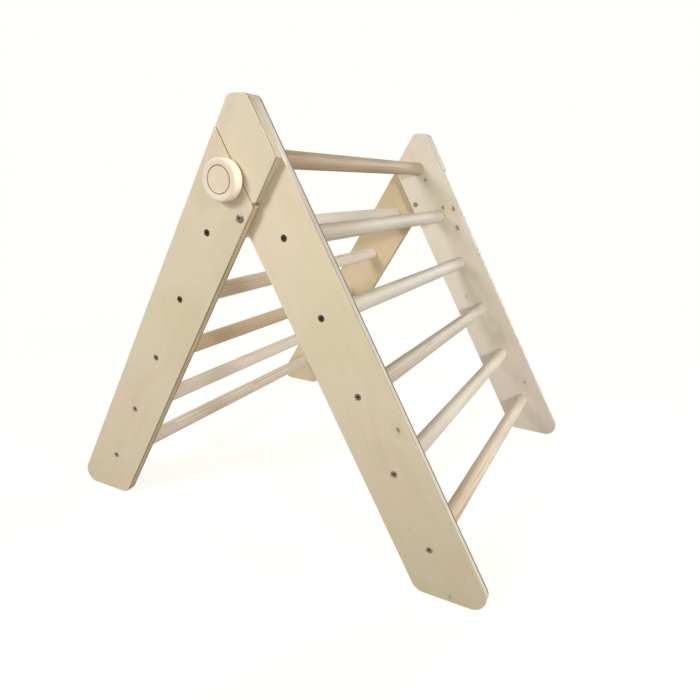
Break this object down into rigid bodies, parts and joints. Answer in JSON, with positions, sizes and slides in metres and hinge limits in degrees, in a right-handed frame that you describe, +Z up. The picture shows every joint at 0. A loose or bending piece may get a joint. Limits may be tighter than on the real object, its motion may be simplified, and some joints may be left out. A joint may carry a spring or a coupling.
{
  "type": "foldable climbing triangle",
  "caption": "Foldable wooden climbing frame for small children: two ladders with round rungs, hinged near the blunted peak, stand as a triangle and lock open with round knobs.",
  "frame": {"origin": "on the floor under the peak, midway between the two sides: the middle of the bottom of the bounding box at rest", "axes": "+X runs from the peak out over the right ladder's feet, +Y along the rungs from the near side to the far side, +Z up"},
  "size_m": [0.902, 0.855, 0.7828],
  "materials": {
    "plywood": "pale birch plywood, clear matt lacquer",
    "rung_wood": "pale dowel wood, clear matt lacquer",
    "knob_wood": "pale turned wood, clear matt lacquer",
    "dark_steel": "black oxide, satin",
    "bright_steel": "zinc plated, satin",
    "brass": "plain",
    "nylon": "natural"
  },
  "bodies": {
    "right_ladder": {"right_board_near": "plywood", "right_board_far": "plywood", "stop_cap_near": "plywood", "stop_cap_far": "plywood", "cap_dowels": "rung_wood", "right_rung_1": "rung_wood", "right_rung_2": "rung_wood", "right_rung_3": "rung_wood", "right_rung_4": "rung_wood", "right_rung_5": "rung_wood", "right_rung_6": "rung_wood", "right_screws_near": "dark_steel", "right_screws_far": "dark_steel", "pivot_sleeve_near": "bright_steel", "pivot_sleeve_far": "bright_steel", "pivot_bolt_near": "bright_steel", "pivot_bolt_far": "bright_steel", "pivot_washer_near": "nylon", "pivot_washer_far": "nylon"},
    "left_ladder": {"left_board_near": "plywood", "left_board_far": "plywood", "left_rung_1": "rung_wood", "left_rung_2": "rung_wood", "left_rung_3": "rung_wood", "left_rung_4": "rung_wood", "left_rung_5": "rung_wood", "left_screws_near": "dark_steel", "left_screws_far": "dark_steel", "knob_insert_near": "brass", "knob_insert_far": "brass"},
    "washer_near": {"knob_washer_near": "bright_steel"},
    "washer_far": {"knob_washer_far": "bright_steel"},
    "knob_near": {"knob_near": "knob_wood", "knob_stud_near": "bright_steel"},
    "knob_far": {"knob_far": "knob_wood", "knob_stud_far": "bright_steel"}
  },
  "joints": [
    {"name": "fold", "type": "hinge", "parent": "right_ladder", "child": "left_ladder", "pos_m": [0, 0, 0.59882], "axis": [0, -1, 0], "range_deg": [0, 60]},
    {"name": "knob_near_travel", "type": "slide", "parent": "left_ladder", "child": "washer_near", "axis": [0, -1, 0], "range_m": [0, 0.00501]},
    {"name": "knob_near_turn", "type": "hinge", "parent": "washer_near", "child": "knob_near", "pos_m": [-0.02341, -0.41, 0.65726], "axis": [0, -1, 0], "range_deg": [0, 1440]},
    {"name": "knob_far_travel", "type": "slide", "parent": "left_ladder", "child": "washer_far", "axis": [0, 1, 0], "range_m": [0, 0.00501]},
    {"name": "knob_far_turn", "type": "hinge", "parent": "washer_far", "child": "knob_far", "pos_m": [-0.02341, 0.41, 0.65726], "axis": [0, 1, 0], "range_deg": [0, 1440]}
  ],
  "couplings": [
    {"joint": "knob_near_travel", "follows": "knob_near_turn", "m_per_rad": 0.00019894},
    {"joint": "knob_far_travel", "follows": "knob_far_turn", "m_per_rad": 0.00019894}
  ]
}
